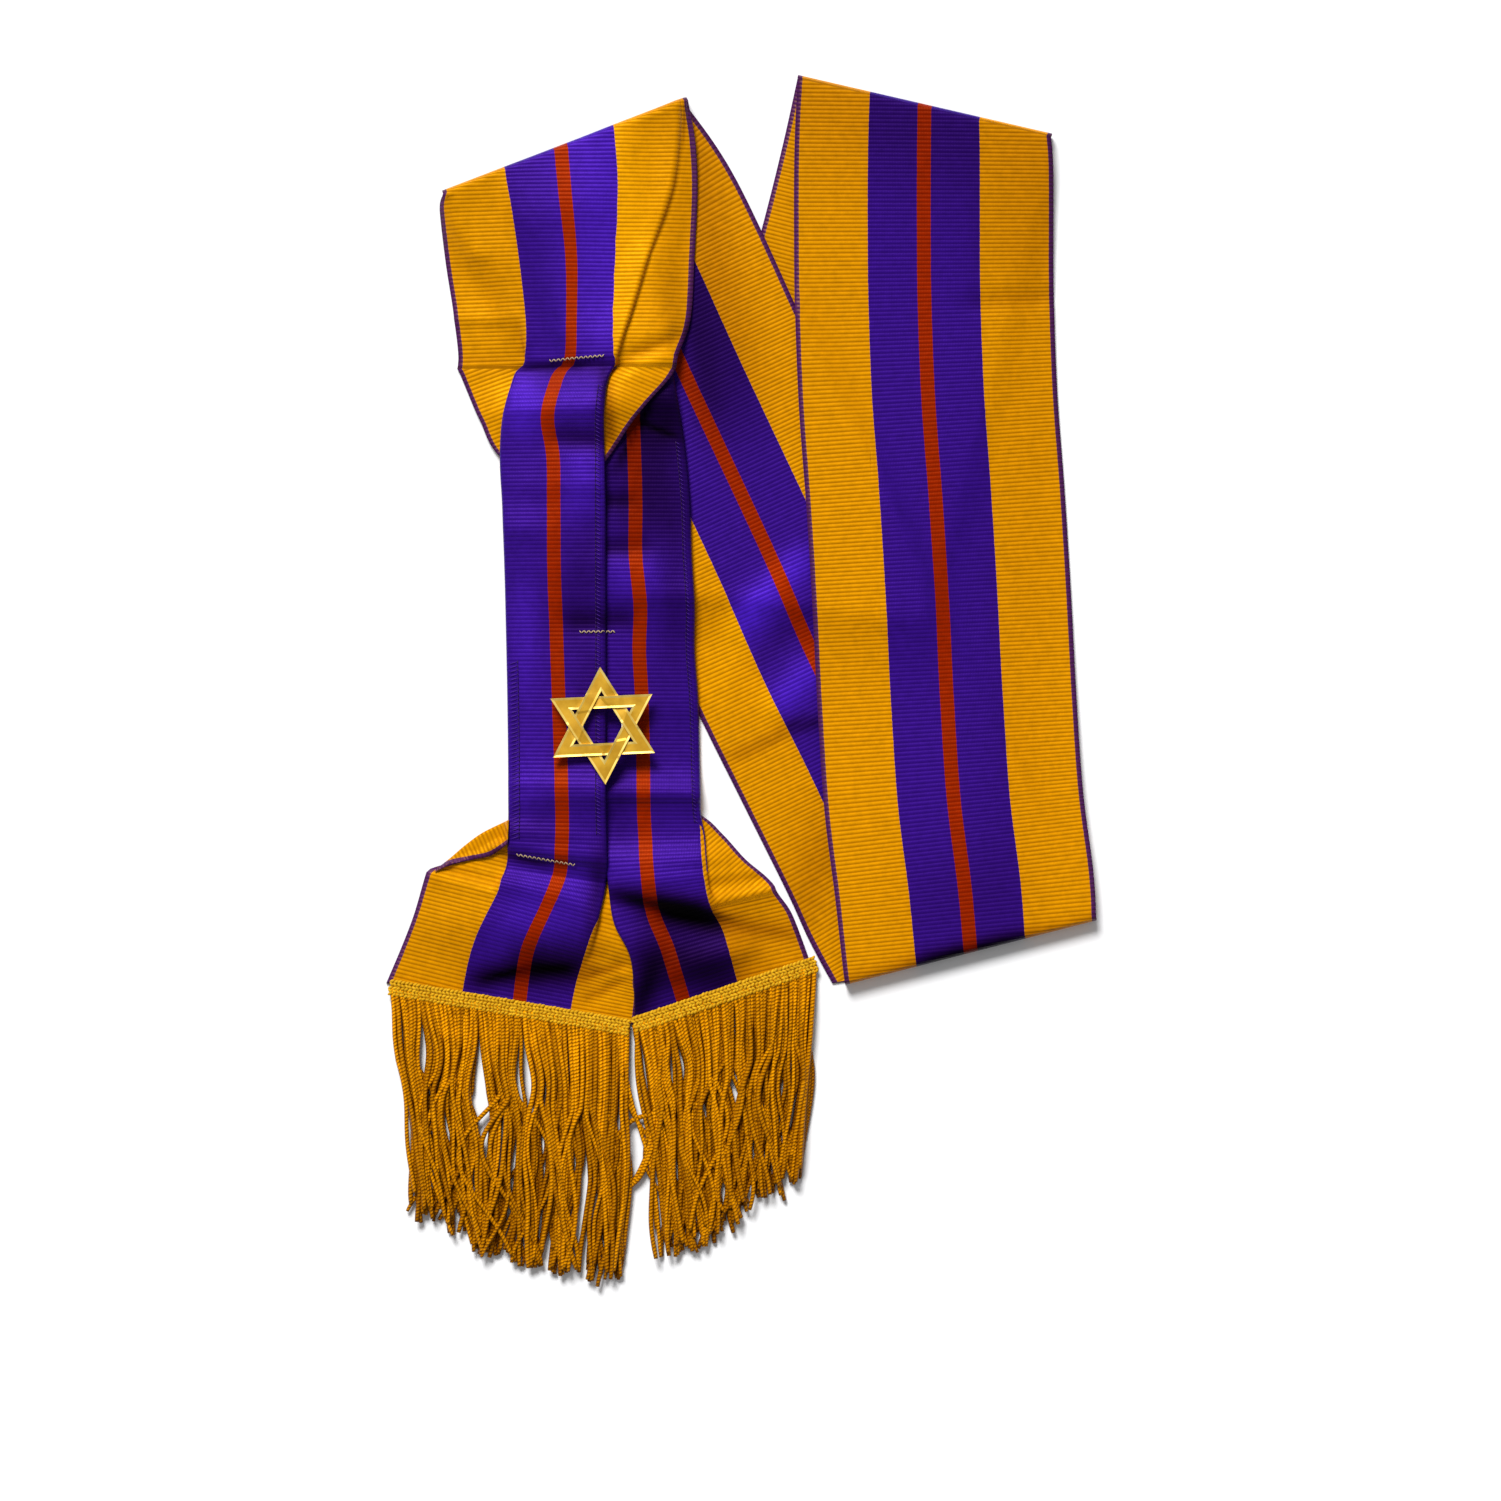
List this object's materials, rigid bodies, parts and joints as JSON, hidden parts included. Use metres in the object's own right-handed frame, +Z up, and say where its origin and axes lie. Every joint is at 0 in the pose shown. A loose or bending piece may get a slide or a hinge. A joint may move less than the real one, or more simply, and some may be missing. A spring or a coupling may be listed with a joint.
{
  "type": "ceremonial sash",
  "caption": "Long striped ribbon sash laid out folded, with pleated tails crossing, a gilt star badge pinned over them, and a woven heading with hanging cord fringe on each end.",
  "frame": {"origin": "under the middle of the sash's bounding box, on the surface that it lies on", "axes": "+Y away from the fringes along the tails, +X to the right as seen from above, +Z up from the surface"},
  "size_m": [0.2772, 0.4738, 0.0142],
  "materials": {
    "ribbon": "ribbed, soft sheen",
    "cord": "twisted cord, soft sheen",
    "gilt": "worn gilt, satin"
  },
  "bodies": {
    "root": {"sash_ribbon": "ribbon", "fringe_left": "cord", "fringe_right": "cord", "star_badge": "gilt"}
  },
  "joints": []
}
